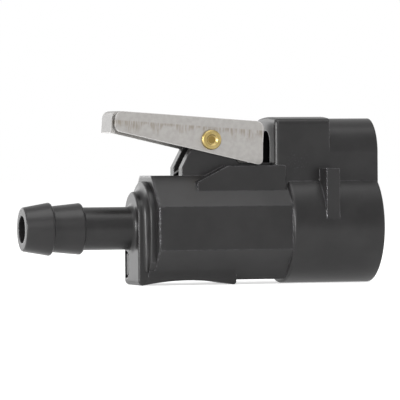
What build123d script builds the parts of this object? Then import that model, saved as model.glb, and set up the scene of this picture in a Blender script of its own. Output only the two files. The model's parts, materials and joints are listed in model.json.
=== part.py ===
"""Hose-side quick disconnect coupling for a fuel line, in millimetres.

Frame: +X runs along the fuel axis and points out of the socket's mouth, +Z points up
to the latch lever, and the origin is the centre of the socket's mouth.
"""
from build123d import *
import os
from math import acos, atan2, cos, degrees, hypot, pi, radians, sin, tan

# ---- driving sizes: moulded body ------------------------------------------------
shell_radius = 12.0            # round shell at the mouth
shell_length = 20.1
octagon_apothem = 11.02        # half the width across the barrel's flats
octagon_length = 29.15
disc_radius = 8.2              # low round step between the barrel and the end plate
disc_thickness = 1.05
plate_radius = 5.8             # arch of the end plate, and half the grip's width
plate_thickness = 2.1
plate_rise = 1.9               # centre of the arch above the fuel axis
mouth_round = 0.4
shell_back_round = 0.6
barrel_round = 0.7
plate_round = 0.5

# ---- driving sizes: hose barb ---------------------------------------------------
stem_radius = 4.51
stem_length = 11.1             # from the end plate to the second ridge
stem_foot_round = 0.85
rear_ridge_radius = 5.46
ridge_spacing = 6.6
front_ridge_radius = 5.65
ridge_foot_radius = 4.8
tip_radius = 4.6
tip_length = 6.0
tip_round = 0.35
ridge_round = 0.4
ridge_foot_round = 0.2
flow_radius = 2.9

# ---- driving sizes: finger grip under the barrel --------------------------------
grip_length = 21.4
saddle_radius = 50.0           # hollow along the grip's underside
saddle_depth = 1.0
grip_back_round = 1.0
grip_front_round = 0.6
grip_flare_radius = 3.5
gate_relief_radius = 2.9
gate_relief_depth = 0.6

# ---- driving sizes: guide lobe above the shell ----------------------------------
guide_height = 15.8            # guide pin's axis above the fuel axis
guide_radius = 3.0
lobe_wall = 4.1                # wall round the guide bore
box_overhang = 2.6             # squarer rear of the lobe, past the shell's back face
box_front = 10.7               # its front, behind the mouth
box_rise = 0.38                # its crown above the round part of the lobe
box_crown = 0.5
box_corner_round = 1.2
box_back_round = 0.9
pocket_depth = 8.7             # claw pocket, in from the lobe's back face
pocket_rise = 1.6              # centre of the pocket's arch above the guide axis

# ---- driving sizes: gussets, ledges and ears ------------------------------------
gusset_reach = 11.9
gusset_front = 10.0
gusset_width = 2.9
gusset_bottom = 1.7
gusset_top = 12.3
ledge_reach = 7.8              # ledges on the upper slanted flats, beside the lever
ledge_top = 13.0
ledge_bottom = 7.75
ledge_back_reach = 3.6         # behind the pivot
ledge_overlap = 0.5            # front end, behind the shell's back face
ledge_ramp_start = 9.65
ledge_ramp_length = 6.6
ear_thickness = 2.5
ear_back_reach = 6.1           # behind the pivot
ear_front_reach = 6.3          # in front of it
ear_back_step = 12.7
ear_front_step = 13.65
ear_radius = 2.7

# ---- driving sizes: latch lever -------------------------------------------------
pivot_set_back = 16.3          # pivot behind the shell, and above the fuel axis
pivot_height = 18.5
sheet = 0.9
lever_half_width = 5.65
lever_tilt = 4.31              # top of the lever falls towards the claw, degrees
lever_top = 4.67               # top face above the pivot, square to it
thumb_reach = 21.0
claw_reach = 11.1
claw_lean = 0.6                # lower corner of the flange stands out from the upper
flange_depth_thumb = 4.16
flange_depth_claw = 9.3
bend_radius = 1.5
flange_thumb_round = 1.4
flange_claw_round = 1.0
tab_half_width = 4.0
tab_overhang = 0.45
tab_length = 4.7
tongue_half_width = 3.6
tongue_overhang = 0.95
catch_radius = 2.1             # groove of the guide pin that the claw drops into
ear_clearance = 0.2            # lever's cheek to the ear, each side

# ---- driving sizes: rivet and latch spring --------------------------------------
rivet_radius = 1.25
rivet_running = 0.05
rivet_head_radius = 2.1
rivet_head_thickness = 0.8
rivet_head_round = 0.4
rivet_dimple_radius = 0.9
rivet_dimple_depth = 0.3
rivet_head_gap = 0.05
latch_wire = 0.6
latch_coil_radius = 2.1
latch_coil_pitch = 0.72
latch_coil_turns = 3
latch_leg_back = 9.8
deck_leg_back = 6.0
spring_touch_gap = 0.05

# ---- driving sizes: socket, seal and valve --------------------------------------
socket_radius = 4.6
retainer_thickness = 2.4
gland_radius = 6.4
seal_section = 2.3
chamber_radius = 4.9
chamber_depth = 32.0
boss_radius = 8.2
recess_radius = 9.9
recess_depth = 9.0
poppet_clearance = 0.2
poppet_seat_gap = 0.08
poppet_nose_radius = 2.4
poppet_guide_length = 7.2
poppet_stem_radius = 2.3
poppet_stem_length = 8.0
poppet_flutes = 4
flute_radius = 1.3
valve_wire = 0.7
valve_coil_radius = 3.5
valve_coil_turns = 7

# ---- places worked out from them ------------------------------------------------
barrel_back = -(shell_length + octagon_length)
disc_back = barrel_back - disc_thickness
plate_back = disc_back - plate_thickness
rear_ridge = plate_back - stem_length
front_ridge = rear_ridge - ridge_spacing
tip = front_ridge - tip_length
lobe_half_width = guide_radius + lobe_wall
box_back = -(shell_length + box_overhang)
box_top = guide_height + lobe_half_width + box_rise
pivot_back = shell_length + pivot_set_back
ledge_back = pivot_back + ledge_back_reach
ledge_front = shell_length + ledge_overlap
ear_back = pivot_back + ear_back_reach
ear_front = pivot_back - ear_front_reach
cheek_half_width = lever_half_width - sheet
ear_outer = cheek_half_width - ear_clearance
ear_inner = ear_outer - ear_thickness
gland_depth = retainer_thickness + seal_section
grip_front = plate_back + grip_length
pivot = Vector(-pivot_back, 0, pivot_height)
side_plane = Plane.XZ
pivot_plane = Plane(origin=pivot, x_dir=(1, 0, 0), z_dir=(0, -1, 0))
lever_plane = Plane(origin=pivot, z_dir=(0, -1, 0),
                    x_dir=(cos(radians(lever_tilt)), 0, -sin(radians(lever_tilt))))

# ---- moulded body ---------------------------------------------------------------
with BuildPart() as body:
    # Finger grip: upright flanks that flare out into the barrel's lower flats
    flare_foot = -(octagon_apothem * (1 + tan(pi / 8)) - plate_radius
                   + grip_flare_radius * (2 * sin(pi / 4) - 1))
    with BuildSketch(Plane.YZ.offset(disc_back)):
        with BuildLine():
            flank = Polyline((0, -shell_radius), (plate_radius, -shell_radius),
                             (plate_radius, flare_foot))
            flare = JernArc(flank @ 1, (0, 1), grip_flare_radius, -45)
            Polyline(flare @ 1, (0, -octagon_apothem / 2), (0, -shell_radius))
        make_face()
        mirror(about=Plane.YZ)
    extrude(amount=grip_front - disc_back)
    fillet(edges().filter_by(Axis.Y).group_by(Axis.X)[-1].sort_by(Axis.Z)[0], grip_front_round)

    # End plate with an arched top, running down into the grip
    with BuildSketch(Plane.YZ.offset(plate_back)):
        with Locations((0, plate_rise)):
            Circle(plate_radius)
        with Locations((0, plate_rise)):
            Rectangle(2 * plate_radius, plate_rise + shell_radius, align=(Align.CENTER, Align.MAX))
    extrude(amount=plate_thickness)
    plate_rim = edges(Select.LAST).filter_by_position(Axis.X, plate_back, plate_back)
    fillet(plate_rim.filter_by(Axis.Y), grip_back_round)
    fillet(faces().sort_by(Axis.X)[0].edges().filter_by(lambda e: e.center().Z > grip_back_round
                                                        - shell_radius + plate_round), plate_round)

    # Hollow for the finger
    with BuildSketch(side_plane):
        with Locations(((disc_back - plate_thickness + grip_front) / 2,
                        -shell_radius + saddle_depth - saddle_radius)):
            Circle(saddle_radius)
    extrude(amount=shell_radius, both=True, mode=Mode.SUBTRACT)

    # Barb, stem and the round step behind the barrel
    with BuildSketch(side_plane):
        with BuildLine():
            Line((tip, 0), (tip, tip_radius / 2))
            FilletPolyline((tip, tip_radius / 2), (tip, tip_radius),
                           (front_ridge, front_ridge_radius), (front_ridge, ridge_foot_radius),
                           (rear_ridge, rear_ridge_radius), (rear_ridge, stem_radius),
                           (plate_back, stem_radius), (plate_back, plate_radius - plate_round / 2),
                           radius=(tip_round, ridge_round, ridge_foot_round, ridge_round,
                                   ridge_foot_round, stem_foot_round))
            Polyline((plate_back, plate_radius - plate_round / 2),
                     (disc_back, plate_radius - plate_round / 2), (disc_back, disc_radius),
                     (barrel_back + barrel_round, disc_radius), (barrel_back + barrel_round, 0),
                     (tip, 0))
        make_face()
    revolve(axis=Axis.X)

    # Octagonal barrel
    with BuildSketch(Plane.YZ.offset(barrel_back)):
        RegularPolygon(octagon_apothem, 8, major_radius=False, rotation=22.5)
    extrude(amount=octagon_length)

    # Round shell
    with BuildSketch(side_plane):
        with BuildLine():
            Line((-shell_length, 0), (-shell_length, octagon_apothem / 2))
            FilletPolyline((-shell_length, octagon_apothem / 2), (-shell_length, shell_radius),
                           (0, shell_radius), (0, octagon_apothem / 2),
                           radius=(shell_back_round, mouth_round))
            Polyline((0, octagon_apothem / 2), (0, 0), (-shell_length, 0))
        make_face()
    revolve(axis=Axis.X)

    # Guide lobe: round in front, squarer at the back
    with BuildSketch(Plane.YZ):
        with Locations((0, guide_height)):
            Circle(lobe_half_width)
            Rectangle(2 * lobe_half_width, guide_height, align=(Align.CENTER, Align.MAX))
    extrude(amount=-(shell_length - shell_back_round))
    crown_corner = (lobe_half_width, box_top - box_crown)
    with BuildSketch(Plane.YZ.offset(box_back)) as box_profile:
        with BuildLine():
            Polyline((-crown_corner[0], crown_corner[1]), (-lobe_half_width, 0),
                     (lobe_half_width, 0), crown_corner)
            ThreePointArc(crown_corner, (0, box_top), (-crown_corner[0], crown_corner[1]))
        make_face()
        fillet(box_profile.vertices().group_by(Axis.Z)[-1], box_corner_round)
    extrude(amount=-box_back - box_front)
    fillet(edges(Select.LAST).filter_by_position(Axis.X, box_back, box_back)
           .filter_by(lambda e: e.center().Z > ledge_top), box_back_round)

    # Gussets between the lobe and the shell
    with BuildSketch(side_plane):
        with Locations((-gusset_front, gusset_bottom)):
            Rectangle(gusset_width, gusset_top - gusset_bottom, align=(Align.MAX, Align.MIN))
    extrude(amount=gusset_reach, both=True)

    # Ledges on the upper slanted flats, and the ears between them
    with BuildSketch(side_plane):
        Polygon((-ledge_back, ledge_bottom), (-ledge_back, ledge_ramp_start),
                (-ledge_back + ledge_ramp_length, ledge_top), (-ledge_front, ledge_top),
                (-ledge_front, ledge_bottom), align=None)
    extrude(amount=ledge_reach, both=True)
    with BuildSketch(side_plane):
        Polygon((-ear_back, octagon_apothem / 2), (-ear_back, ear_back_step),
                (-ear_front, ear_front_step), (-ear_front, octagon_apothem / 2), align=None)
        with Locations((-pivot_back, pivot_height)):
            Circle(ear_radius)
        make_hull()
    extrude(amount=ear_outer, both=True)
    with BuildSketch(Plane.XY.offset(octagon_apothem)):
        with Locations((-ear_back, 0)):
            Rectangle(ear_back - ear_front, 2 * ear_inner, align=(Align.MIN, Align.CENTER))
        with Locations((-ear_front, 0)):
            Rectangle(ear_front + box_back, 2 * ear_outer, align=(Align.MIN, Align.CENTER))
    extrude(amount=box_top, mode=Mode.SUBTRACT)

    # Rivet bore, guide bore and claw pocket
    with BuildSketch(side_plane):
        with Locations((-pivot_back, pivot_height)):
            Circle(rivet_radius + rivet_running)
    extrude(amount=lever_half_width, both=True, mode=Mode.SUBTRACT)
    with BuildSketch(Plane.YZ):
        with Locations((0, guide_height)):
            Circle(guide_radius)
    extrude(amount=box_back, mode=Mode.SUBTRACT)
    with BuildSketch(Plane.YZ.offset(box_back)):
        with Locations((0, guide_height + pocket_rise)):
            Circle(guide_radius)
            Rectangle(2 * guide_radius, guide_radius + pocket_rise,
                      align=(Align.CENTER, Align.MAX))
    extrude(amount=pocket_depth, mode=Mode.SUBTRACT)

    # Ring-shaped recess round the socket boss, seal gland, valve chamber and hose passage
    with BuildSketch(Plane.YZ):
        Circle(recess_radius)
        Circle(boss_radius, mode=Mode.SUBTRACT)
    extrude(amount=-recess_depth, mode=Mode.SUBTRACT)
    for bore_radius, bore_end in ((gland_radius, -gland_depth),
                                  (chamber_radius, -chamber_depth),
                                  (flow_radius, tip)):
        with BuildSketch(Plane.YZ):
            Circle(bore_radius)
        extrude(amount=bore_end, mode=Mode.SUBTRACT)

    # Gate relief in the back face of the end plate
    with BuildSketch(Plane.YZ.offset(plate_back)):
        with Locations((plate_radius - gate_relief_radius / 2, -(plate_radius + plate_rise))):
            Circle(gate_relief_radius)
    extrude(amount=gate_relief_depth, mode=Mode.SUBTRACT)
body.part.label = "body"

# ---- latch lever: one folded sheet ----------------------------------------------
claw_edge_height = guide_height + catch_radius - pivot_height
tongue_face = claw_reach + tongue_overhang
tongue_end = (claw_edge_height * cos(radians(lever_tilt))
              + tongue_face * sin(radians(lever_tilt)))
with BuildPart() as latch_lever:
    # Channel section, square to the lever's top
    section_plane = Plane(origin=lever_plane.from_local_coords(Vector(-thumb_reach, 0, 0)),
                          x_dir=(0, 1, 0), z_dir=lever_plane.x_dir)
    with BuildSketch(section_plane) as channel:
        with Locations((0, lever_top)):
            Rectangle(2 * lever_half_width, flange_depth_claw, align=(Align.CENTER, Align.MAX))
        fillet(channel.vertices().group_by(Axis.Y)[-1], bend_radius)
    extrude(amount=thumb_reach + claw_reach + claw_lean)
    with BuildSketch(section_plane) as hollow:
        with Locations((0, lever_top - sheet)):
            Rectangle(2 * cheek_half_width, flange_depth_claw, align=(Align.CENTER, Align.MAX))
        fillet(hollow.vertices().group_by(Axis.Y)[-1], bend_radius - sheet)
    extrude(amount=thumb_reach + claw_reach + claw_lean, mode=Mode.SUBTRACT)
    # Side outline of the flanges
    with BuildSketch(lever_plane):
        with BuildLine():
            FilletPolyline((-thumb_reach, lever_top), (claw_reach, lever_top),
                           (claw_reach + claw_lean, lever_top - flange_depth_claw),
                           (-thumb_reach, lever_top - flange_depth_thumb), close=True,
                           radius=(bend_radius, bend_radius, flange_claw_round,
                                   flange_thumb_round))
        make_face()
    extrude(amount=lever_half_width, both=True, mode=Mode.INTERSECT)
    # Thumb tab and claw tongue, bent down from the top
    for end_face, end_height, half_width in (
            (-(thumb_reach + tab_overhang), lever_top - tab_length, tab_half_width),
            (tongue_face, tongue_end, tongue_half_width)):
        inward = -sheet if end_face > 0 else sheet
        with BuildSketch(lever_plane):
            with BuildLine():
                FilletPolyline((end_face / 2, lever_top), (end_face, lever_top),
                               (end_face, end_height), radius=bend_radius)
                Line((end_face, end_height), (end_face + inward, end_height))
                FilletPolyline((end_face + inward, end_height), (end_face + inward,
                               lever_top - sheet), (end_face / 2, lever_top - sheet),
                               radius=bend_radius - sheet)
                Line((end_face / 2, lever_top - sheet), (end_face / 2, lever_top))
            make_face()
        extrude(amount=half_width, both=True)
    # Rivet holes
    with BuildSketch(pivot_plane):
        Circle(rivet_radius)
    extrude(amount=lever_half_width, both=True, mode=Mode.SUBTRACT)
latch_lever.part.label = "latch_lever"

# ---- pivot rivet ----------------------------------------------------------------
head_face = lever_half_width + rivet_head_gap
head_end = head_face + rivet_head_thickness
with BuildPart() as pivot_rivet:
    with BuildSketch(Plane(origin=pivot, x_dir=(1, 0, 0), z_dir=(0, 0, 1))):
        with BuildLine():
            Line((0, 0), (rivet_radius, 0))
            Polyline((rivet_radius, 0), (rivet_radius, head_face),
                     (rivet_head_radius, head_face))
            FilletPolyline((rivet_head_radius, head_face), (rivet_head_radius, head_end),
                           (rivet_dimple_radius + rivet_dimple_depth, head_end),
                           radius=rivet_head_round)
            Polyline((rivet_dimple_radius + rivet_dimple_depth, head_end),
                     (rivet_dimple_radius, head_end - rivet_dimple_depth),
                     (0, head_end - rivet_dimple_depth), (0, 0))
        make_face()
        mirror(about=Plane.XZ)
    revolve(axis=Axis(pivot, (0, 1, 0)))
pivot_rivet.part.label = "pivot_rivet"

# ---- latch spring: a coil round the rivet with two legs -------------------------
wire_gap = latch_wire / 2 + spring_touch_gap
leg_end = pivot_plane.to_local_coords(
    lever_plane.from_local_coords(Vector(-latch_leg_back, lever_top - sheet - wire_gap, 0)))
deck_end = Vector(-deck_leg_back, octagon_apothem + wire_gap - pivot_height, 0)
leg_span = hypot(leg_end.X, leg_end.Y)
deck_span = hypot(deck_end.X, deck_end.Y)
leg_turn = degrees(atan2(leg_end.Y, leg_end.X)) - degrees(acos(latch_coil_radius / leg_span))
deck_turn = degrees(atan2(deck_end.Y, deck_end.X)) + degrees(acos(latch_coil_radius / deck_span))
coil_sweep = 360 * latch_coil_turns + leg_turn - deck_turn
coil_width = latch_coil_pitch * coil_sweep / 360
lead = latch_coil_pitch / (2 * pi * latch_coil_radius)
leg_length = (leg_span ** 2 - latch_coil_radius ** 2) ** 0.5
deck_length = (deck_span ** 2 - latch_coil_radius ** 2) ** 0.5


def beside_pivot(x, z, y):
    """Point in the part's frame from its place beside the pivot."""
    return pivot + Vector(x, y, z)


coil_start = -coil_width / 2
leg_tip = beside_pivot(leg_end.X, leg_end.Y, coil_start - leg_length * lead)
deck_tip = beside_pivot(deck_end.X, deck_end.Y, -coil_start + deck_length * lead)
coil_plane = Plane(origin=pivot + Vector(0, coil_start, 0), z_dir=(0, 1, 0),
                   x_dir=(cos(radians(leg_turn)), 0, sin(radians(leg_turn))))
coil = coil_plane.location * Helix(latch_coil_pitch, coil_width, latch_coil_radius)
with BuildPart() as latch_spring:
    with BuildLine() as latch_wire_path:
        Line(leg_tip, coil @ 0)
        add(coil)
        Line(coil @ 1, deck_tip)
    with BuildSketch(Plane(origin=leg_tip, z_dir=coil @ 0 - leg_tip)):
        Circle(latch_wire / 2)
    sweep(path=latch_wire_path.wire())
latch_spring.part.label = "latch_spring"

# ---- seal retainer and prong seal -----------------------------------------------
with BuildPart() as seal_retainer:
    with BuildSketch(Plane.YZ):
        Circle(gland_radius)
        Circle(socket_radius, mode=Mode.SUBTRACT)
    extrude(amount=-retainer_thickness)
seal_retainer.part.label = "seal_retainer"

seal_centre = -(retainer_thickness + seal_section / 2)
seal_mean_radius = gland_radius - seal_section / 2
with BuildPart() as prong_seal:
    with BuildSketch(side_plane):
        with Locations((seal_centre, seal_mean_radius)):
            Circle(seal_section / 2)
    revolve(axis=Axis.X)
prong_seal.part.label = "prong_seal"

# ---- valve poppet and its spring ------------------------------------------------
poppet_radius = chamber_radius - poppet_clearance
seat_reach = (seal_section / 2 + poppet_seat_gap) * 2 ** 0.5
cone_start = seal_centre - seat_reach + seal_mean_radius - poppet_radius
nose_face = cone_start + poppet_radius - poppet_nose_radius
poppet_back = cone_start - poppet_guide_length
with BuildPart() as valve_poppet:
    with BuildSketch(side_plane):
        Polygon((nose_face, 0), (nose_face, poppet_nose_radius), (cone_start, poppet_radius),
                (poppet_back, poppet_radius), (poppet_back, poppet_stem_radius),
                (poppet_back - poppet_stem_length, poppet_stem_radius),
                (poppet_back - poppet_stem_length, 0), align=None)
    revolve(axis=Axis.X)
    # Flutes that let the fuel past
    with BuildSketch(Plane.YZ.offset(poppet_back)):
        with PolarLocations(poppet_radius, poppet_flutes):
            Circle(flute_radius)
    extrude(amount=poppet_guide_length - flute_radius, mode=Mode.SUBTRACT)
valve_poppet.part.label = "valve_poppet"

valve_spring_back = -chamber_depth + valve_wire / 2 + spring_touch_gap
valve_spring_length = poppet_back - valve_wire / 2 - spring_touch_gap - valve_spring_back
valve_coil = Plane.YZ.offset(valve_spring_back).location * Helix(
    valve_spring_length / valve_coil_turns, valve_spring_length, valve_coil_radius)
with BuildPart() as valve_spring:
    with BuildLine() as valve_wire_path:
        add(valve_coil)
    with BuildSketch(Plane(origin=valve_coil @ 0, z_dir=valve_coil % 0)):
        Circle(valve_wire / 2)
    sweep(path=valve_wire_path.wire())
valve_spring.part.label = "valve_spring"

os.makedirs("parts", exist_ok=True)
for piece in (body, latch_lever, pivot_rivet, latch_spring,
              seal_retainer, prong_seal, valve_poppet, valve_spring):
    export_step(piece.part, f"parts/{piece.part.label}.step")
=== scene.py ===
"""Looks of the hose-side quick disconnect coupling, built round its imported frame.

Lengths are in metres, in the frame's own axes: +X out of the socket's mouth, +Z up.
"""

import json
import logging
import math
from dataclasses import dataclass, field
from enum import Enum

import bmesh
import bpy
from mathutils import Matrix, Vector

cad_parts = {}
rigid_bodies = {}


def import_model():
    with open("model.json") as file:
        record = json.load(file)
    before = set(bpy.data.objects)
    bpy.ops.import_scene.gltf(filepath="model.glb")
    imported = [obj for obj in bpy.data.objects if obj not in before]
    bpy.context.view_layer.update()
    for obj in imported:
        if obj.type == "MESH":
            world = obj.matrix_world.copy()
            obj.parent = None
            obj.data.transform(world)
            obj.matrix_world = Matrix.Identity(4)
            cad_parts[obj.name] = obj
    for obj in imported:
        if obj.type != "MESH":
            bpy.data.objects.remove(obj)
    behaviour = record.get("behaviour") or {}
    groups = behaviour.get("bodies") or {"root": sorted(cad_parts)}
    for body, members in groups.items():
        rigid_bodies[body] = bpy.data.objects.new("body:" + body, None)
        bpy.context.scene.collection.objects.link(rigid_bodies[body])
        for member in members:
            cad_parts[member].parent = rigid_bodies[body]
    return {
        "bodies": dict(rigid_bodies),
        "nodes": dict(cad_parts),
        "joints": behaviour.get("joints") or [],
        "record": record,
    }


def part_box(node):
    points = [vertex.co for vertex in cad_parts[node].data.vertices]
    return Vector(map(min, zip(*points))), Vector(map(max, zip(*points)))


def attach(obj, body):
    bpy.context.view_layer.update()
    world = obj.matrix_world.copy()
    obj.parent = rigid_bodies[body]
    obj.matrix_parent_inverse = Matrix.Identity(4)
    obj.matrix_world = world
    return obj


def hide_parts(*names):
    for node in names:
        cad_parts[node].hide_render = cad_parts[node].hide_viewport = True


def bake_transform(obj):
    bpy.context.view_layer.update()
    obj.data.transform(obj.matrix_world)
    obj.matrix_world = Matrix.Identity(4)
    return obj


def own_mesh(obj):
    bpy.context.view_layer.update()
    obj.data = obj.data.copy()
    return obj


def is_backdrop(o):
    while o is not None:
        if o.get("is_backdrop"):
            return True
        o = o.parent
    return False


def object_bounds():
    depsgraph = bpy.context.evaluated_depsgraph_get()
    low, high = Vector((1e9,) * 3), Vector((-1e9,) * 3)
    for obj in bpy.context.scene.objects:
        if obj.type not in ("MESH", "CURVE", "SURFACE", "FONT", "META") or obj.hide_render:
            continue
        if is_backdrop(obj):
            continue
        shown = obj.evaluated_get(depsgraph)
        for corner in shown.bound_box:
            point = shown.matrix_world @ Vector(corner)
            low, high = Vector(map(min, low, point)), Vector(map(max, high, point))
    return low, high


log = logging.getLogger("coupling")

MM = 0.001
SMOOTH_ANGLE = math.radians(32.0)
ARCH_STEPS = 48
ROUND_STEPS = 6

RGB = tuple[float, float, float]
Point = tuple[float, float, float]
Range = tuple[float, float]
Outline = list[tuple[float, float]]
Shape = tuple[list[Point], list[tuple[int, ...]]]

WHITE: RGB = (1.0, 1.0, 1.0)


class Slot(Enum):
    """Material slots of the record that the finishes stand for."""

    MOULDED = "moulded_plastic"
    LEVER = "lever_steel"
    RIVET = "rivet_brass"
    WIRE = "spring_steel"
    RETAINER = "retainer_plastic"
    SEAL = "seal_rubber"
    POPPET = "poppet_brass"


class Side(Enum):
    """Sides of the coupling, as the sign of Y."""

    NEAR = -1.0
    FAR = 1.0


class Axis(Enum):
    """Axes that brass is turned about, as masks of the directions across them."""

    FUEL = (0.0, 1.0, 1.0)
    PIVOT = (1.0, 0.0, 1.0)


class Output(Enum):
    """Kinds of output that the shared effects have."""

    VALUE = "NodeSocketFloat"
    VECTOR = "NodeSocketVector"


class Lamp(Enum):
    """Soft lamps of the studio, named by where they stand."""

    OVERHEAD = "overhead_softbox"
    FRONT = "front_softbox"
    MOUTH_SIDE = "mouth_side_softbox"
    BARB_SIDE = "barb_side_strip"
    BACKDROP = "backdrop_glow"


# ---- node helpers ---------------------------------------------------------------
@dataclass(frozen=True)
class Graph:
    """A node tree with short calls for adding and linking nodes."""

    tree: bpy.types.NodeTree

    def add(self, kind: str, settings: dict | None = None, **sockets: object) -> bpy.types.Node:
        """Adds a node, sets its properties and fills or links its inputs.

        Args:
            kind: node type, such as "ShaderNodeMath".
            settings: node properties by name.
            sockets: input values or output sockets, by input name with _ for a space.

        Returns:
            The new node.
        """
        node = self.tree.nodes.new(kind)
        for name, value in (settings or {}).items():
            setattr(node, name, value)
        for name, value in sockets.items():
            self.feed(node.inputs[name.replace("_", " ")], value)
        return node

    def feed(self, socket: bpy.types.NodeSocket, value: object) -> None:
        """Links an output socket into socket, or sets its value.

        Args:
            socket: the input.
            value: an output socket or a plain value.
        """
        if isinstance(value, bpy.types.NodeSocket):
            self.tree.links.new(value, socket)
        else:
            socket.default_value = value

    def place(self) -> bpy.types.NodeSocket:
        """Adds the place on the object, in metres."""
        return self.add("ShaderNodeTexCoord").outputs["Object"]

    def calculate(self, operation: str, *operands: object) -> bpy.types.NodeSocket:
        """Adds a Math node.

        Args:
            operation: Blender's name of the operation.
            operands: as many numbers or sockets as the operation takes.

        Returns:
            The node's value.
        """
        node = self.add("ShaderNodeMath", {"operation": operation})
        for socket, value in zip(node.inputs, operands):
            self.feed(socket, value)
        return node.outputs["Value"]

    def calculate_vector(self, operation: str, *operands: object) -> bpy.types.Node:
        """Adds a Vector Math node.

        Args:
            operation: Blender's name of the operation.
            operands: as many vectors or sockets as the operation takes.

        Returns:
            The node, with its answer in the output Vector or Value.
        """
        node = self.add("ShaderNodeVectorMath", {"operation": operation})
        for socket, value in zip(node.inputs, operands):
            self.feed(socket, value)
        return node

    def turn(self, place: object, angle: object, **sockets: object) -> bpy.types.NodeSocket:
        """Turns places about an axis that runs along Y.

        Args:
            place: what is turned.
            angle: the turn, in radians.
            sockets: further inputs, such as Center.

        Returns:
            The turned places.
        """
        node = self.add("ShaderNodeVectorRotate", {"rotation_type": "Y_AXIS"}, Vector=place,
                        Angle=angle, **sockets)
        return node.outputs["Vector"]

    def noise(self, place: object, scale: object, detail: float,
              roughness: float = 0.5) -> bpy.types.NodeSocket:
        """Adds a noise texture.

        Args:
            place: where the noise is read.
            scale: cycles per metre.
            detail: how many finer layers lie over it.
            roughness: how strong the finer layers are.

        Returns:
            The noise, from 0 to 1.
        """
        node = self.add("ShaderNodeTexNoise", Vector=place, Scale=scale, Detail=detail,
                        Roughness=roughness)
        return node.outputs["Fac"]

    def span(self, value: object, low: float, high: float, start: float = 0.0,
             end: float = 1.0) -> bpy.types.NodeSocket:
        """Maps a value smoothly from one range to another and clamps it.

        Args:
            value: what is mapped.
            low: where the mapping starts.
            high: where it ends.
            start: result at low.
            end: result at high.

        Returns:
            The mapped value.
        """
        node = self.add("ShaderNodeMapRange", {"interpolation_type": "SMOOTHSTEP"}, Value=value,
                        From_Min=low, From_Max=high, To_Min=start, To_Max=end)
        return node.outputs["Result"]

    def blend(self, share: object, first: object, second: object) -> bpy.types.NodeSocket:
        """Mixes two colours.

        Args:
            share: how much of the second colour shows.
            first: colour at share 0.
            second: colour at share 1.

        Returns:
            The mixed colour.
        """
        node = self.add("ShaderNodeMix", {"data_type": "RGBA"})
        for socket, value in ((node.inputs[0], share), (node.inputs[6], first),
                              (node.inputs[7], second)):
            self.feed(socket, rgba(value) if isinstance(value, tuple) else value)
        return node.outputs[2]


def rgba(colour: RGB) -> tuple[float, float, float, float]:
    """Adds full alpha to a linear colour."""
    return (*colour, 1.0)


def new_group(name: str, inputs: dict[str, float], outputs: dict[str, Output]) -> Graph:
    """Starts a shader node group with named sockets.

    Args:
        name: the group's name.
        inputs: number inputs with their defaults.
        outputs: kinds of the output sockets, by name.

    Returns:
        The group's graph.
    """
    tree = bpy.data.node_groups.new(name, "ShaderNodeTree")
    for socket_name, value in inputs.items():
        socket = tree.interface.new_socket(socket_name, in_out="INPUT",
                                           socket_type="NodeSocketFloat")
        socket.default_value = value
    for socket_name, kind in outputs.items():
        tree.interface.new_socket(socket_name, in_out="OUTPUT", socket_type=kind.value)
    return Graph(tree)


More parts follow.
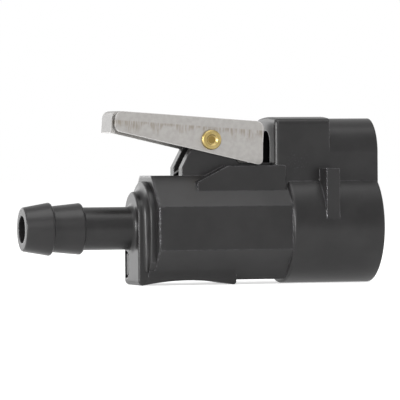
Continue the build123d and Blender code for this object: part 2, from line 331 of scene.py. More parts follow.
# ---- effects shared by the finishes ---------------------------------------------
@dataclass(frozen=True)
class Effects:
    """Shader node groups that the finishes share, built once."""

    grain: bpy.types.NodeTree
    edges: bpy.types.NodeTree
    brushing: bpy.types.NodeTree

    @staticmethod
    def build() -> "Effects":
        """Makes the groups, ready to be placed in materials."""
        return Effects(Effects.build_grain(), Effects.build_edges(), Effects.build_brushing())

    @staticmethod
    def build_grain() -> bpy.types.NodeTree:
        """Makes fine surface grain with slow mottling.

        Returns:
            Group with inputs Fine and Slow, in cycles per metre, and outputs Height and Mottle.
        """
        graph = new_group("surface_grain", {"Fine": 2600.0, "Slow": 160.0},
                          {"Height": Output.VALUE, "Mottle": Output.VALUE})
        entry = graph.add("NodeGroupInput")
        place = graph.place()
        fine = graph.noise(place, entry.outputs["Fine"], detail=2.0, roughness=0.6)
        slow = graph.noise(place, entry.outputs["Slow"], detail=4.0, roughness=0.55)
        graph.add("NodeGroupOutput", Height=fine, Mottle=graph.span(slow, low=0.3, high=0.7))
        return graph.tree

    @staticmethod
    def build_edges() -> bpy.types.NodeTree:
        """Makes a mask of rounded outer edges and inner corners.

        Returns:
            Group with input Reach, in metres, and outputs Mask, Broken and Rounded, the
            normal with its edges rounded.
        """
        graph = new_group("edge_mask", {"Reach": 0.4 * MM},
                          {"Mask": Output.VALUE, "Broken": Output.VALUE,
                           "Rounded": Output.VECTOR})
        entry = graph.add("NodeGroupInput")
        bevel = graph.add("ShaderNodeBevel", {"samples": 6}, Radius=entry.outputs["Reach"])
        rounded = bevel.outputs["Normal"]
        flat = graph.add("ShaderNodeNewGeometry").outputs["Normal"]
        agreement = graph.calculate_vector("DOT_PRODUCT", rounded, flat).outputs["Value"]
        mask = graph.span(agreement, low=0.999, high=0.93)
        patches = graph.noise(graph.place(), scale=900.0, detail=3.0)
        broken = graph.calculate("MULTIPLY", mask, graph.span(patches, low=0.35, high=0.6))
        graph.add("NodeGroupOutput", Mask=mask, Broken=broken, Rounded=rounded)
        return graph.tree

    @staticmethod
    def build_brushing() -> bpy.types.NodeTree:
        """Makes fine parallel brushing.

        Returns:
            Group with inputs Across and Along, in cycles per metre, Tilt, in radians about
            the Y axis, and the output Height.
        """
        graph = new_group("brushing", {"Across": 6000.0, "Along": 150.0, "Tilt": 0.0},
                          {"Height": Output.VALUE})
        entry = graph.add("NodeGroupInput")
        turned = graph.turn(graph.place(), entry.outputs["Tilt"])
        scale = graph.add("ShaderNodeCombineXYZ", X=entry.outputs["Along"],
                          Y=entry.outputs["Across"], Z=entry.outputs["Across"])
        stretched = graph.calculate_vector("MULTIPLY", turned, scale.outputs["Vector"])
        lines = graph.noise(stretched.outputs["Vector"], scale=1.0, detail=2.0)
        graph.add("NodeGroupOutput", Height=lines)
        return graph.tree


# ---- finishes -------------------------------------------------------------------
def new_material(name: str) -> tuple[bpy.types.Material, Graph, bpy.types.Node]:
    """Starts a material with a Principled shader.

    Args:
        name: the material's name.

    Returns:
        The material, its graph and its Principled node.
    """
    material = bpy.data.materials.new(name)
    material.use_nodes = True
    graph = Graph(material.node_tree)
    return material, graph, material.node_tree.nodes["Principled BSDF"]


def place_group(graph: Graph, group: bpy.types.NodeTree, **inputs: float) -> bpy.types.Node:
    """Places an effect in a material.

    Args:
        graph: the material's graph.
        group: the effect's node group.
        inputs: values of its inputs.

    Returns:
        The group node.
    """
    node = graph.add("ShaderNodeGroup", {"node_tree": group})
    for name, value in inputs.items():
        node.inputs[name].default_value = value
    return node


def add_bump(graph: Graph, shader: bpy.types.Node, **sockets: object) -> None:
    """Adds relief that only the light sees.

    Args:
        graph: the material's graph.
        shader: the material's Principled node.
        sockets: Height, Distance and Strength, and Normal where the relief lies on another.
    """
    bump = graph.add("ShaderNodeBump", **sockets)
    graph.feed(shader.inputs["Normal"], bump.outputs["Normal"])


@dataclass(frozen=True)
class MouldedPlastic:
    """Grained moulding whose rounded edges catch more light and carry a painted highlight.

    Attributes:
        slot: the material slot that the finish stands for.
        colour: darkest tone of the mottling.
        pale: lightest tone of the mottling.
        edge_colour: tone of the painted highlight on rounded edges, and of rubbed specks.
        edge_highlight_share: how far a rounded edge goes towards edge_colour, as painted
            highlight.
        roughness: roughness of a flat face.
        edge_roughness: roughness of a rounded edge.
        specular: specular level all over.
        edge_polish: share of metallic reflection that a polished edge gets on top.
        polish_colour: strength of that reflection.
        reach: how far an edge is rounded.
        wide_reach: the same on the barrel's back edge.
        wide_back: where the barrel's back edge starts.
        wide_front: where it ends.
        wide_fade: length over which the reach changes.
        scuff_centre: middle of the rubbed patch.
        scuff_core: radius inside which the patch is fully rubbed.
        scuff_reach: radius where the patch has faded out.
        speck_scale: rubbed specks per metre.
        fine_grain: grain of the mould's surface, in cycles per metre.
        slow_grain: mottling, in cycles per metre.
        grain_depth: depth of the grain.
        grain_strength: how strongly the light sees it.
    """

    slot: Slot = Slot.MOULDED
    colour: RGB = (0.0096, 0.0091, 0.0094)
    pale: RGB = (0.0155, 0.0148, 0.0152)
    edge_colour: RGB = (0.022, 0.0215, 0.024)
    edge_highlight_share: float = 0.3
    roughness: float = 0.33
    edge_roughness: float = 0.2
    specular: float = 0.36
    edge_polish: float = 0.8
    polish_colour: RGB = (0.076, 0.0743, 0.078)
    reach: float = 0.35 * MM
    wide_reach: float = 0.85 * MM
    wide_back: float = -49.25 * MM
    wide_front: float = -48.3 * MM
    wide_fade: float = 0.1 * MM
    scuff_centre: Point = (-17.6 * MM, -8.4 * MM, 13.6 * MM)
    scuff_core: float = 1.26 * MM
    scuff_reach: float = 4.2 * MM
    speck_scale: float = 3000.0
    fine_grain: float = 3200.0
    slow_grain: float = 140.0
    grain_depth: float = 0.02 * MM
    grain_strength: float = 0.35

    def build(self, effects: Effects) -> bpy.types.Material:
        """Makes the material.

        Args:
            effects: the shared node groups.

        Returns:
            The material.
        """
        material, graph, shader = new_material(self.slot.value)
        grain = place_group(graph, effects.grain, Fine=self.fine_grain, Slow=self.slow_grain)
        edges = place_group(graph, effects.edges)
        graph.feed(edges.inputs["Reach"], self.add_reach(graph))
        broken = edges.outputs["Broken"]
        mottled = graph.blend(grain.outputs["Mottle"], self.colour, self.pale)
        # painted highlight: rounded edges are lightened, together with the rubbed specks
        highlight_and_specks = graph.calculate("MAXIMUM", self.add_scuff(graph),
                               graph.calculate("MULTIPLY", broken, self.edge_highlight_share))
        highlighted_and_specked = graph.blend(highlight_and_specks, mottled, self.edge_colour)
        graph.feed(shader.inputs["Base Color"], graph.blend(broken, highlighted_and_specked, self.polish_colour))
        graph.feed(shader.inputs["Metallic"],
                   graph.calculate("MULTIPLY", broken, self.edge_polish))
        rough = graph.span(edges.outputs["Mask"], 0.0, 1.0, self.roughness, self.edge_roughness)
        graph.feed(shader.inputs["Roughness"], rough)
        shader.inputs["Specular IOR Level"].default_value = self.specular
        add_bump(graph, shader, Height=grain.outputs["Height"], Distance=self.grain_depth,
                 Strength=self.grain_strength, Normal=edges.outputs["Rounded"])
        return material

    def add_scuff(self, graph: Graph) -> bpy.types.NodeSocket:
        """Adds the rubbed specks behind the near gusset.

        Args:
            graph: the material's graph.

        Returns:
            A mask, 1 in a speck.
        """
        place = graph.place()
        away = graph.calculate_vector("DISTANCE", place, self.scuff_centre).outputs["Value"]
        near = graph.span(away, self.scuff_reach, self.scuff_core)
        specks = graph.noise(place, self.speck_scale, detail=2.0)
        return graph.calculate("MULTIPLY", near, graph.span(specks, low=0.55, high=0.68))

    def add_reach(self, graph: Graph) -> bpy.types.NodeSocket:
        """Adds the reach of the edge rounding, wider on the barrel's back edge.

        Args:
            graph: the material's graph.

        Returns:
            The reach in metres.
        """
        along = graph.add("ShaderNodeSeparateXYZ", Vector=graph.place()).outputs["X"]
        past_back = graph.span(along, self.wide_back - self.wide_fade, self.wide_back)
        past_front = graph.span(along, self.wide_front, self.wide_front + self.wide_fade)
        band = graph.calculate("SUBTRACT", past_back, past_front)
        return graph.calculate("MULTIPLY_ADD", band, self.wide_reach - self.reach, self.reach)


@dataclass(frozen=True)
class FoldedSteel:
    """Brushed stainless sheet with brownish water marks under its top bend, painted edge
    highlights and painted shade on faces that look to the barb.

    Attributes:
        tilt: turn about the Y axis that levels the lever, in radians.
        pivot: the rivet's centre.
        bend_line: height of the top bend's lower edge over the pivot, with the lever level.
        slot: the material slot that the finish stands for.
        colour: darkest tone of the mottling.
        pale: lightest tone of the mottling.
        edge_colour: tone of the painted highlight on rounded edges.
        edge_reach: how far an edge is rounded.
        barb_side_shade: tone of the painted shade on faces that look to the barb.
        roughness: roughness in the grain's valleys and on its tops.
        brushing_across: brush lines per metre.
        brushing_along: breaks in a brush line per metre.
        fine_grain: pitting, in cycles per metre.
        slow_grain: mottling, in cycles per metre.
        grain_share: depth of the pitting beside that of the brushing.
        relief_depth: depth of the brushing.
        relief_strength: how strongly the light sees it.
        mark_colour: tone of the water marks.
        mark_strength: how far a mark goes towards mark_colour.
        mark_scale: marks per metre along the bend.
        mark_stretch: change of a mark on its way down, as a share of that along the bend.
        mark_start: height over which a mark fades in below the bend.
        mark_lengths: lengths of the shortest and the longest mark.
        mark_length_scale: changes of length per metre along the bend.
    """

    tilt: float
    pivot: Vector
    bend_line: float
    slot: Slot = Slot.LEVER
    colour: RGB = (0.365, 0.352, 0.338)
    pale: RGB = (0.405, 0.392, 0.378)
    edge_colour: RGB = (0.6, 0.59, 0.58)
    edge_reach: float = 0.25 * MM
    barb_side_shade: RGB = (0.2, 0.195, 0.19)
    roughness: Range = (0.32, 0.46)
    brushing_across: float = 9000.0
    brushing_along: float = 700.0
    fine_grain: float = 5200.0
    slow_grain: float = 1100.0
    grain_share: float = 0.8
    relief_depth: float = 0.008 * MM
    relief_strength: float = 0.35
    mark_colour: RGB = (0.2, 0.16, 0.11)
    mark_strength: float = 0.55
    mark_scale: float = 2300.0
    mark_stretch: float = 0.09
    mark_start: float = 0.35 * MM
    mark_lengths: Range = (0.8 * MM, 3.4 * MM)
    mark_length_scale: float = 420.0

    def build(self, effects: Effects) -> bpy.types.Material:
        """Makes the material.

        Args:
            effects: the shared node groups.

        Returns:
            The material.
        """
        material, graph, shader = new_material(self.slot.value)
        brushing = place_group(graph, effects.brushing, Across=self.brushing_across,
                               Along=self.brushing_along, Tilt=self.tilt)
        grain = place_group(graph, effects.grain, Fine=self.fine_grain, Slow=self.slow_grain)
        edges = place_group(graph, effects.edges, Reach=self.edge_reach)
        base = graph.blend(grain.outputs["Mottle"], self.colour, self.pale)
        # painted shade: faces that look to the barb are darkened
        shaded_to_barb = graph.blend(self.add_barb_side_shade(graph), base, self.barb_side_shade)
        stained = graph.blend(self.add_marks(graph), shaded_to_barb, self.mark_colour)
        # painted highlight: rounded edges are lightened
        graph.feed(shader.inputs["Base Color"],
                   graph.blend(edges.outputs["Mask"], stained, self.edge_colour))
        graph.feed(shader.inputs["Roughness"],
                   graph.span(grain.outputs["Height"], 0.25, 0.75, *self.roughness))
        pits = graph.calculate("MULTIPLY", grain.outputs["Height"], self.grain_share)
        add_bump(graph, shader, Height=graph.calculate("ADD", brushing.outputs["Height"], pits),
                 Distance=self.relief_depth, Strength=self.relief_strength)
        shader.inputs["Metallic"].default_value = 1.0
        return material

    def add_barb_side_shade(self, graph: Graph) -> bpy.types.NodeSocket:
        """Adds a mask of the faces that look to the barb, such as the folded tab, where shade is
        painted.

        Args:
            graph: the material's graph.

        Returns:
            A mask, 1 on a face square to the fuel axis.
        """
        normal = graph.add("ShaderNodeTexCoord").outputs["Normal"]
        outward = graph.add("ShaderNodeSeparateXYZ", Vector=normal).outputs["X"]
        return graph.span(outward, low=-0.6, high=-0.95)

    def add_marks(self, graph: Graph) -> bpy.types.NodeSocket:
        """Adds the water marks: short runs that hang from the bend line.

        Args:
            graph: the material's graph.

        Returns:
            A mask, 1 in a mark.
        """
        level = graph.turn(graph.place(), self.tilt, Center=self.pivot)
        axes = graph.add("ShaderNodeSeparateXYZ", Vector=level)
        below = graph.calculate("SUBTRACT", self.bend_line + self.pivot.z, axes.outputs["Z"])
        height = graph.calculate("MULTIPLY", axes.outputs["Z"], self.mark_stretch)
        columns = graph.add("ShaderNodeCombineXYZ", X=axes.outputs["X"],
                            Z=height).outputs["Vector"]
        runs = graph.noise(columns, self.mark_scale, detail=3.0, roughness=0.7)
        lengths = graph.noise(columns, self.mark_length_scale, detail=1.0)
        share = graph.calculate("DIVIDE", below,
                                graph.span(lengths, 0.3, 0.7, *self.mark_lengths))
        inside = graph.calculate("SUBTRACT", 1.0, share)
        faded = graph.calculate("MULTIPLY", graph.span(inside, low=0.0, high=0.7),
                                graph.span(below, 0.0, self.mark_start))
        broken = graph.calculate("MULTIPLY", faded, graph.span(runs, low=0.4, high=0.62))
        return graph.calculate("MULTIPLY", broken, self.mark_strength)


@dataclass(frozen=True)
class TurnedBrass:
    """Brass with turned rings about an axis, painted shade round the axis and painted edge
    highlights.

    Attributes:
        slot: the material slot that the finish stands for.
        centre: a point on the axis.
        axis: the axis that the piece is turned about.
        colour: darkest tone of the mottling.
        pale: lightest tone of the mottling.
        edge_colour: tone of the painted highlight on rounded edges.
        edge_reach: how far an edge is rounded.
        dimple_shade_colour: tone of the painted shade round the axis, as in a rivet's dimple.
        dimple_shade_core: radius inside which that shade is full.
        dimple_shade_radius: radius where it has faded out.
        roughness: roughness in the grain's valleys and on its tops.
        fine_grain: grain, in cycles per metre.
        slow_grain: mottling, in cycles per metre.
        ring_pitch: distance between turned rings.
        ring_depth: depth of the rings.
        ring_strength: how strongly the light sees them.
    """

    slot: Slot
    centre: Vector
    axis: Axis
    colour: RGB = (0.33, 0.245, 0.085)
    pale: RGB = (0.42, 0.33, 0.145)
    edge_colour: RGB = (0.56, 0.45, 0.22)
    edge_reach: float = 0.25 * MM
    dimple_shade_colour: RGB = (0.24, 0.165, 0.05)
    dimple_shade_core: float = 0.72 * MM
    dimple_shade_radius: float = 0.9 * MM
    roughness: Range = (0.33, 0.48)
    fine_grain: float = 4200.0
    slow_grain: float = 700.0
    ring_pitch: float = 0.16 * MM
    ring_depth: float = 0.002 * MM
    ring_strength: float = 0.5

    def build(self, effects: Effects) -> bpy.types.Material:
        """Makes the material.

        Args:
            effects: the shared node groups.

        Returns:
            The material.
        """
        material, graph, shader = new_material(self.slot.value)
        grain = place_group(graph, effects.grain, Fine=self.fine_grain, Slow=self.slow_grain)
        edges = place_group(graph, effects.edges, Reach=self.edge_reach)
        offset = graph.calculate_vector("SUBTRACT", graph.place(), self.centre)
        across = graph.calculate_vector("MULTIPLY", offset.outputs["Vector"], self.axis.value)
        radius = graph.calculate_vector("LENGTH", across.outputs["Vector"]).outputs["Value"]
        base = graph.blend(grain.outputs["Mottle"], self.colour, self.pale)
        # painted shade: darker round the axis, as in the rivet's dimple
        dimple_shaded = graph.blend(graph.span(radius, self.dimple_shade_radius, self.dimple_shade_core), base,
                              self.dimple_shade_colour)
        # painted highlight: rounded edges are lightened
        graph.feed(shader.inputs["Base Color"],
                   graph.blend(edges.outputs["Mask"], dimple_shaded, self.edge_colour))
        graph.feed(shader.inputs["Roughness"],
                   graph.span(grain.outputs["Height"], 0.2, 0.8, *self.roughness))
        rings = graph.calculate("SINE", graph.calculate("MULTIPLY", radius,
                                                        2 * math.pi / self.ring_pitch))
        add_bump(graph, shader, Height=rings, Distance=self.ring_depth,
                 Strength=self.ring_strength)
        shader.inputs["Metallic"].default_value = 1.0
        return material


@dataclass(frozen=True)
class DrawnWire:
    """Bright drawn spring wire, its tones darkened as painted shade, and its grain in cycles per
    metre.
    """

    slot: Slot = Slot.WIRE
    # painted shade: the wire's tones are set darker than bright steel
    colour: RGB = (0.16, 0.16, 0.16)
    pale: RGB = (0.3, 0.3, 0.3)
    roughness: Range = (0.26, 0.44)
    fine_grain: float = 6000.0
    slow_grain: float = 900.0

    def build(self, effects: Effects) -> bpy.types.Material:
        """Makes the material.

        Args:
            effects: the shared node groups.

        Returns:
            The material.
        """
        material, graph, shader = new_material(self.slot.value)
        grain = place_group(graph, effects.grain, Fine=self.fine_grain, Slow=self.slow_grain)
        graph.feed(shader.inputs["Base Color"],
                   graph.blend(grain.outputs["Mottle"], self.colour, self.pale))
        graph.feed(shader.inputs["Roughness"],
                   graph.span(grain.outputs["Height"], 0.2, 0.8, *self.roughness))
        shader.inputs["Metallic"].default_value = 1.0
        return material


@dataclass(frozen=True)
class SealRubber:
    """Black nitrile rubber with patches of faint bloom, its grain in cycles per metre."""

    slot: Slot = Slot.SEAL
    colour: RGB = (0.012, 0.012, 0.012)
    bloom: RGB = (0.03, 0.03, 0.031)
    roughness: float = 0.5
    fine_grain: float = 5000.0
    slow_grain: float = 500.0
    grain_depth: float = 0.01 * MM
    grain_strength: float = 0.3

    def build(self, effects: Effects) -> bpy.types.Material:
        """Makes the material.

        Args:
            effects: the shared node groups.

        Returns:
            The material.
        """
        material, graph, shader = new_material(self.slot.value)
        grain = place_group(graph, effects.grain, Fine=self.fine_grain, Slow=self.slow_grain)
        graph.feed(shader.inputs["Base Color"],
                   graph.blend(grain.outputs["Mottle"], self.colour, self.bloom))
        add_bump(graph, shader, Height=grain.outputs["Height"], Distance=self.grain_depth,
                 Strength=self.grain_strength)
        shader.inputs["Roughness"].default_value = self.roughness
        return material


# ---- pieces ---------------------------------------------------------------------
def dress(frame: dict, node: str, material: bpy.types.Material) -> None:
    """Gives a CAD node a material and reports it.

    Args:
        frame: the loaded frame.
        node: the node's name.
        material: its finish.
    """
    for slot in frame["nodes"][node].material_slots:
        slot.material = material
    log.info("dressed %s in %s", node, material.name)


def add_piece(name: str, shape: Shape, body: str,
              material: bpy.types.Material) -> None:
    """Adds a mesh piece that rides on a body.

    Args:
        name: the piece's name.
        shape: its vertices, in metres, and its faces, as vertex numbers.
        body: the CAD body that carries it.
        material: its finish.
    """
    points, faces = shape
    mesh = bpy.data.meshes.new(name)
    mesh.from_pydata(points, [], faces)
    editing = bmesh.new()
    editing.from_mesh(mesh)
    bmesh.ops.recalc_face_normals(editing, faces=editing.faces)
    editing.to_mesh(mesh)
    editing.free()
    mesh.shade_smooth()
    mesh.set_sharp_from_angle(angle=SMOOTH_ANGLE)
    mesh.materials.append(material)
    piece = bpy.data.objects.new(name, mesh)
    bpy.context.collection.objects.link(piece)
    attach(piece, body)
    log.info("added %s: %d faces", name, len(faces))


def copy_spring(frame: dict, node: str, material: bpy.types.Material) -> bpy.types.Object:
    """Copies a spring's CAD node into a piece of its own, and hides the node.

    Args:
        frame: the loaded frame.
        node: the spring's node.
        material: its finish.

    Returns:
        The copy, in place and with no parent.
    """
    source = frame["nodes"][node]
    mesh = source.data.copy()
    mesh.transform(source.matrix_world)
    mesh.materials.clear()
    mesh.materials.append(material)
    piece = bpy.data.objects.new(f"{node}_flexing", mesh)
    bpy.context.collection.objects.link(piece)
    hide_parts(node)
    log.info("copied %s to flex", node)
    return piece


# ---- outlines -------------------------------------------------------------------
def arch(radius: float, rise: float) -> Outline:
    """Gives a half circle over a centre at the height rise, from right to left."""
    turns = (math.pi * k / ARCH_STEPS for k in range(ARCH_STEPS + 1))
    return [(radius * math.cos(turn), rise + radius * math.sin(turn)) for turn in turns]


def quarter_round(steps: int) -> Outline:
    """Gives the shares (left, gone) of a rounding's two reaches along a quarter circle."""
    turns = (math.pi / 2 * k / steps for k in range(steps + 1))
    return [(1 - math.sin(turn), 1 - math.cos(turn)) for turn in turns]


def stand(along: float, outline: Outline) -> list[Point]:
    """Stands an outline, given across and up, at a place along the fuel axis."""
    return [(along, across, up) for across, up in outline]


def join_rings(rings: list[list[Point]], closed: bool = True, caps: int = 0) -> Shape:
    """Joins rings of points, each to the next, by four-sided faces.

    Args:
        rings: the rings, all with as many points.
        closed: whether a ring joins up with its own start.
        caps: how many of the two end rings, the first one first, are filled.

    Returns:
        Vertices and faces.
    """
    count = len(rings[0])
    last = count * (len(rings) - 1)
    steps = count if closed else count - 1
    faces = [tuple(range(start, start + count)) for start in (0, last)[:caps]]
    faces += [(start + k, start + (k + 1) % count, start + count + (k + 1) % count,
               start + count + k)
              for start in range(0, last, count) for k in range(steps)]
    return [point for ring in rings for point in ring], faces


# ---- sub-assemblies -------------------------------------------------------------
@dataclass(frozen=True)
class ShoulderSizes:
    """Arched step between the barrel and the end plate, inside the barrel's outline.

    Attributes:
        back: place of its back face on the fuel axis.
        front: where it ends inside the barrel.
        half_width: half its width, and the radius of its arch.
        rise: height of the arch's centre.
        foot_apothem: distance from the fuel axis to the octagon's flats, which clip its foot.
        rounding: radius of its back edge.
    """

    back: float = -50.45 * MM
    front: float = -48.9 * MM
    half_width: float = 8.4 * MM
    rise: float = 1.45 * MM
    foot_apothem: float = 10.97 * MM
    rounding: float = 0.45 * MM


@dataclass(frozen=True)
class CoveSizes:
    """Cove between the end plate's side and the shoulder's face.

    Attributes:
        seat: how far its front rim lies inside the shoulder's face.
        half_width: half the end plate's width, where it starts.
        rise: height of the arch's centre.
        straight_end: height where its sides start to run in.
        foot: height where it has run out.
        depth: its reach along the fuel axis.
        width: its reach across the shoulder's face.
        steps: segments of its curve.
    """

    seat: float = 0.01 * MM
    half_width: float = 5.78 * MM
    rise: float = 1.9 * MM
    straight_end: float = -5.2 * MM
    foot: float = -9.2 * MM
    depth: float = 1.1 * MM
    width: float = 1.75 * MM
    steps: int = 8


@dataclass(frozen=True)
class RailSizes:
    """Low rails that run on from the ears to the lobe, beside the lever's channel.

    Attributes:
        back: end at the ears, on the fuel axis.
        front: end at the lobe.
        inner: distance of the inner face from the middle plane.
        outer: distance of the outer face from the middle plane.
        bottom: height of the buried underside.
        top: height of the top.
    """

    back: float = -30.6 * MM
    front: float = -22.5 * MM
    inner: float = 2.0 * MM
    outer: float = 4.35 * MM
    bottom: float = 10.6 * MM
    top: float = 13.62 * MM


@dataclass(frozen=True)
class ReliefSizes:
    """Round gate relief in the end plate, closed by a rim on the far side, and its pad.

    Attributes:
        side: distance of the relief's centre from the middle plane.
        height: height of the centre.
        radius: distance from the centre to the rim's ends.
        plate_face: place of the end plate's face on the fuel axis.
        plate_side: half the end plate's width, where the rim ends.
        rim_width: width of the rim.
        rim_rounding: radius of its outer edge.
        rim_depth: its reach into the plate.
        pad_set_back: how far the pad lies behind the plate's face.
        pad_depth: thickness of the pad.
        pad_radius: radius of the pad.
        pad_gap: groove between the pad and the rim.
    """

    side: float = 4.35 * MM
    height: float = -7.7 * MM
    radius: float = 2.88 * MM
    plate_face: float = -52.4 * MM
    plate_side: float = 5.8 * MM
    rim_width: float = 0.6 * MM
    rim_rounding: float = 0.5 * MM
    rim_depth: float = 0.62 * MM
    pad_set_back: float = 0.2 * MM
    pad_depth: float = 0.43 * MM
    pad_radius: float = 2.3 * MM
    pad_gap: float = 0.2 * MM


@dataclass
class Moulding:
    """The one-piece body: barb, barrel, grip, ears, lobe and shell.

    Attributes:
        frame: the loaded frame.
        effects: the shared node groups.
        plastic: finish of the body and of what is added to it.
        shoulder: sizes of the step behind the barrel.
        cove: sizes of the cove round the end plate.
        rail: sizes of the rails under the lever.
        relief: sizes of the gate relief's rim and pad.
    """

    frame: dict
    effects: Effects
    plastic: MouldedPlastic = field(default_factory=MouldedPlastic)
    shoulder: ShoulderSizes = field(default_factory=ShoulderSizes)
    cove: CoveSizes = field(default_factory=CoveSizes)
    rail: RailSizes = field(default_factory=RailSizes)
    relief: ReliefSizes = field(default_factory=ReliefSizes)

    def build(self) -> None:
        """Dresses the body and adds the shoulder, its cove, the rails, the rim and the pad."""
        material = self.plastic.build(self.effects)
        dress(self.frame, "body", material)
        shapes = {"shoulder_step": self.shape_shoulder(), "shoulder_cove": self.shape_cove(),
                  "near_rail": self.shape_rail(Side.NEAR),
                  "far_rail": self.shape_rail(Side.FAR),
                  "relief_rim": self.shape_rim(), "relief_pad": self.shape_pad()}
        for name, shape in shapes.items():
            add_piece(name, shape, "coupling", material)

    def shoulder_outline(self, inset: float) -> Outline:
        """Gives the shoulder's outline, arched above and clipped by the octagon below.

        Args:
            inset: distance inside the full outline.

        Returns:
            Points across and up, anticlockwise from the right foot of the arch.
        """
        radius = self.shoulder.half_width - inset
        apothem = self.shoulder.foot_apothem - inset
        clip, flat = radius - apothem * math.sqrt(2.0), apothem * math.tan(math.pi / 8)
        return arch(radius, self.shoulder.rise) + [(-radius, clip), (-flat, -apothem),
                                                   (flat, -apothem), (radius, clip)]

    def shape_shoulder(self) -> Shape:
        """Shapes the shoulder as rings that round its back edge.

        Returns:
            Vertices and faces.
        """
        sizes = self.shoulder
        rings = [stand(sizes.back + sizes.rounding * gone,
                       self.shoulder_outline(sizes.rounding * left))
                 for left, gone in quarter_round(ROUND_STEPS)]
        rings.append(stand(sizes.front, self.shoulder_outline(0.0)))
        return join_rings(rings, caps=1)

    def shape_cove(self) -> Shape:
        """Shapes the cove as a strip that follows the end plate's arch and sides.

        Returns:
            Vertices and faces.
        """
        sizes = self.cove
        rings = []
        for left, gone in quarter_round(sizes.steps):
            reach = sizes.half_width + sizes.width * gone
            outline = [(sizes.half_width, sizes.foot), (reach, sizes.straight_end)]
            outline += arch(reach, sizes.rise)
            outline += [(-reach, sizes.straight_end), (-sizes.half_width, sizes.foot)]
            rings.append(stand(self.shoulder.back + sizes.seat - sizes.depth * left, outline))
        return join_rings(rings, closed=False)

    def shape_rail(self, side: Side) -> Shape:
        """Shapes one rail as a block.

        Args:
            side: the side that it stands on.

        Returns:
            Vertices and faces.
        """
        sizes = self.rail
        inner, outer = side.value * sizes.inner, side.value * sizes.outer
        section = [(inner, sizes.bottom), (outer, sizes.bottom), (outer, sizes.top),
                   (inner, sizes.top)]
        return join_rings([stand(sizes.back, section), stand(sizes.front, section)], caps=2)

    def shape_rim(self) -> Shape:
        """Shapes the relief's far edge as a rounded strip between the ends of the relief.

        Returns:
            Vertices and faces.
        """
        sizes = self.relief
        inner = sizes.plate_side - sizes.rim_width
        profile = [(inner, sizes.rim_depth), (inner, 0.0)]
        profile += [(sizes.plate_side - sizes.rim_rounding * left, sizes.rim_rounding * gone)
                    for left, gone in quarter_round(ROUND_STEPS)]
        profile.append((sizes.plate_side, sizes.rim_depth))
        rings = []
        for end in (1.0, -1.0):
            ring = []
            for across, deep in profile:
                reach = math.sqrt(sizes.radius ** 2 - (across - sizes.side) ** 2)
                ring.append((sizes.plate_face + deep, across, sizes.height + end * reach))
            rings.append(ring)
        return join_rings(rings, caps=2)

    def shape_pad(self) -> Shape:
        """Shapes the pad as a short round block, cut off at the relief's far edge.

        Returns:
            Vertices and faces.
        """
        sizes = self.relief
        limit = sizes.plate_side - sizes.rim_width - sizes.pad_gap
        outline = []
        for k in range(ARCH_STEPS):
            turn = 2 * math.pi * k / ARCH_STEPS
            across = min(sizes.side + sizes.pad_radius * math.cos(turn), limit)
            outline.append((across, sizes.height + sizes.pad_radius * math.sin(turn)))
        face = sizes.plate_face + sizes.pad_set_back
        return join_rings([stand(face, outline), stand(face + sizes.pad_depth, outline)], caps=2)


@dataclass
class Latch:
    """Folded lever, its rivet and its coil spring.

    Attributes:
        frame: the loaded frame.
        effects: the shared node groups.
        wire: finish of the spring.
        tilt_degrees: how far the lever rises towards the barb at rest.
        bend_line: height of the top bend's lower edge over the pivot, with the lever level.
        coil_reach: how far above and below the pivot the spring's coil takes up the turn; not
            used.
    """

    frame: dict
    effects: Effects
    wire: bpy.types.Material
    tilt_degrees: float = 4.31
    bend_line: float = 2.9 * MM
    coil_reach: float = 1.9 * MM

    def build(self) -> None:
        """Dresses the lever, the rivet and the spring."""
        low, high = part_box("pivot_rivet")
        pivot = (Vector(low) + Vector(high)) / 2
        steel = FoldedSteel(tilt=-math.radians(self.tilt_degrees), pivot=pivot,
                            bend_line=self.bend_line)
        dress(self.frame, "latch_lever", steel.build(self.effects))
        brass = TurnedBrass(slot=Slot.RIVET, centre=pivot, axis=Axis.PIVOT)
        dress(self.frame, "pivot_rivet", brass.build(self.effects))
        spring = copy_spring(self.frame, "latch_spring", self.wire)
        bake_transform(spring)


@dataclass
class Valve:
    """Poppet, spring, seal and retainer in the socket.

    Attributes:
        frame: the loaded frame.
        effects: the shared node groups.
        wire: finish of the spring.
        travel: how far the poppet slides, and the spring shortens; not used.
    """

    frame: dict
    effects: Effects
    wire: bpy.types.Material
    travel: float = 3.5 * MM

    def build(self) -> None:
        """Dresses the pieces inside the socket."""
        spring = copy_spring(self.frame, "valve_spring", self.wire)
        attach(spring, "coupling")
        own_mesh(spring)
        dress(self.frame, "prong_seal", SealRubber().build(self.effects))
        retainer = MouldedPlastic(slot=Slot.RETAINER, roughness=0.32, grain_strength=0.12)
        dress(self.frame, "seal_retainer", retainer.build(self.effects))
        poppet = TurnedBrass(slot=Slot.POPPET, centre=Vector(), axis=Axis.FUEL)
        dress(self.frame, "valve_poppet", poppet.build(self.effects))


# ---- studio ---------------------------------------------------------------------
@dataclass(frozen=True)
class LampPlan:
    """One soft lamp: its offset from the object's centre, its size and its watts."""

    offset: Point
    width: float
    height: float
    power: float


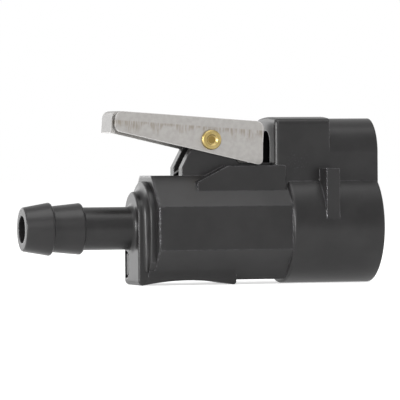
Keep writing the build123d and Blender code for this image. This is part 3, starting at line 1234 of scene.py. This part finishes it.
@dataclass
class Studio:
    """Pale floor, white surroundings and soft lamps.

    Attributes:
        floor_height: height of the floor.
        centre: middle of the object, which the lamps face.
        floor_size: length of the floor's sides.
        floor_shade: how much of the light the floor gives back.
        floor_roughness: roughness of the floor.
        floor_lift: glow that only direct sight and reflections of the floor get.
        world_strength: light level of the surroundings.
        mirrored_strength: brightness of the surroundings in reflections.
        lamps: the lamps' plans.
    """

    floor_height: float
    centre: Vector
    floor_size: float = 6.0
    floor_shade: float = 0.82
    floor_roughness: float = 0.9
    floor_lift: float = 0.62
    world_strength: float = 0.5
    mirrored_strength: float = 0.78
    lamps: dict[Lamp, LampPlan] = field(default_factory=lambda: {
        Lamp.OVERHEAD: LampPlan((-0.05, -0.12, 0.55), 0.5, 0.4, 1.5),
        Lamp.FRONT: LampPlan((-0.25, -0.75, 0.35), 0.5, 0.5, 1.3),
        Lamp.BARB_SIDE: LampPlan((-0.68, -0.24, 0.06), 0.1, 0.4, 7.0),
        Lamp.BACKDROP: LampPlan((-0.3, 0.85, 0.12), 0.6, 0.5, 1.5),
        Lamp.MOUTH_SIDE: LampPlan((0.65, -0.2, 0.2), 0.4, 0.4, 0.9),
    })

    def build(self) -> None:
        """Makes the floor, the world and the lamps."""
        self.build_floor()
        self.build_world()
        for lamp, plan in self.lamps.items():
            self.build_lamp(lamp, plan)

    def build_floor(self) -> None:
        """Makes a white floor that keeps the object's shadow."""
        mesh = bpy.data.meshes.new("floor")
        half = self.floor_size / 2
        corners = [(x, y, self.floor_height) for x, y in
                   ((-half, -half), (half, -half), (half, half), (-half, half))]
        mesh.from_pydata(corners, [], [(0, 1, 2, 3)])
        floor = bpy.data.objects.new("floor", mesh)
        bpy.context.collection.objects.link(floor)
        material, graph, shader = new_material("floor_white")
        shader.inputs["Base Color"].default_value = rgba((self.floor_shade,) * 3)
        shader.inputs["Roughness"].default_value = self.floor_roughness
        shader.inputs["Specular IOR Level"].default_value = 0.0
        path = graph.add("ShaderNodeLightPath").outputs
        bounced = graph.calculate("MAXIMUM", path["Is Glossy Ray"], path["Is Transmission Ray"])
        seen = graph.calculate("MAXIMUM", path["Is Camera Ray"], bounced)
        lift = graph.add("ShaderNodeEmission", Color=rgba(WHITE),
                         Strength=graph.calculate("MULTIPLY", seen, self.floor_lift))
        both = graph.add("ShaderNodeAddShader")
        graph.feed(both.inputs[0], shader.outputs["BSDF"])
        graph.feed(both.inputs[1], lift.outputs["Emission"])
        output = material.node_tree.nodes["Material Output"]
        graph.feed(output.inputs["Surface"], both.outputs["Shader"])
        mesh.materials.append(material)
        floor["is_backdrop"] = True
        log.info("laid the floor")

    def build_world(self) -> None:
        """Makes white surroundings that light the object at a plain level."""
        world = bpy.data.worlds.new("studio")
        world.use_nodes = True
        bpy.context.scene.world = world
        graph = Graph(world.node_tree)
        path = graph.add("ShaderNodeLightPath").outputs
        seen = graph.calculate("MAXIMUM", path["Is Camera Ray"], path["Is Transmission Ray"])
        mirrored = graph.span(path["Is Glossy Ray"], 0.0, 1.0, self.world_strength,
                              self.mirrored_strength)
        background = world.node_tree.nodes["Background"]
        background.inputs["Color"].default_value = rgba(WHITE)
        graph.feed(background.inputs["Strength"], graph.calculate("MAXIMUM", seen, mirrored))

    def build_lamp(self, lamp: Lamp, plan: LampPlan) -> None:
        """Makes one soft lamp that faces the object.

        Args:
            lamp: which lamp.
            plan: its place, size and power.
        """
        data = bpy.data.lights.new(lamp.value, "AREA")
        data.shape = "RECTANGLE"
        data.size = plan.width
        data.size_y = plan.height
        data.energy = plan.power
        light = bpy.data.objects.new(lamp.value, data)
        light.location = self.centre + Vector(plan.offset)
        towards = self.centre - light.location
        light.rotation_euler = towards.to_track_quat("-Z", "Y").to_euler()
        bpy.context.collection.objects.link(light)
        log.info("hung %s", lamp.value)


@dataclass(frozen=True)
class StudioCamera:
    """Long lens a little above the fuel axis, on the barb's side.

    Attributes:
        azimuth: turn about Z away from the near side, in degrees.
        elevation: rise above the level, in degrees.
        roll: turn about the line of sight, in degrees.
        lens: focal length in millimetres.
        sensor_width: width of the sensor in millimetres.
        distance: distance from the target.
        clip_start: nearest distance that shows.
        target: what the camera looks at.
    """

    azimuth: float = -16.06
    elevation: float = 0.66
    roll: float = -0.41
    lens: float = 371.3
    sensor_width: float = 36.0
    distance: float = 0.873
    clip_start: float = 0.01
    target: Point = (-37.3 * MM, 0.0, 5.8 * MM)

    def build(self) -> None:
        """Makes the camera and sets it as the scene's."""
        turn, rise = math.radians(self.azimuth), math.radians(self.elevation)
        back = Vector((math.sin(turn) * math.cos(rise), -math.cos(turn) * math.cos(rise),
                       math.sin(rise)))
        right = Vector((math.cos(turn), math.sin(turn), 0.0))
        data = bpy.data.cameras.new("studio_camera")
        data.lens = self.lens
        data.sensor_width = self.sensor_width
        data.clip_start = self.clip_start
        camera = bpy.data.objects.new("studio_camera", data)
        facing = Matrix((right, back.cross(right), back)).transposed().to_4x4()
        rolled = facing @ Matrix.Rotation(math.radians(self.roll), 4, "Z")
        place = Vector(self.target) + back * self.distance
        camera.matrix_world = Matrix.Translation(place) @ rolled
        bpy.context.collection.objects.link(camera)
        bpy.context.scene.camera = camera
        log.info("set up the camera")


def main() -> None:
    """Builds the coupling's looks, its studio and its camera."""
    logging.basicConfig(level=logging.INFO, format="%(name)s: %(message)s")
    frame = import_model()
    cad_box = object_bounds()
    effects = Effects.build()
    wire = DrawnWire().build(effects)
    Moulding(frame, effects).build()
    Latch(frame, effects, wire).build()
    Valve(frame, effects, wire).build()
    low, high = Vector(cad_box[0]), Vector(cad_box[1])
    Studio(floor_height=low.z, centre=(low + high) / 2).build()
    StudioCamera().build()
    bpy.context.scene.view_settings.view_transform = "Standard"


if __name__ == "__main__":
    main()
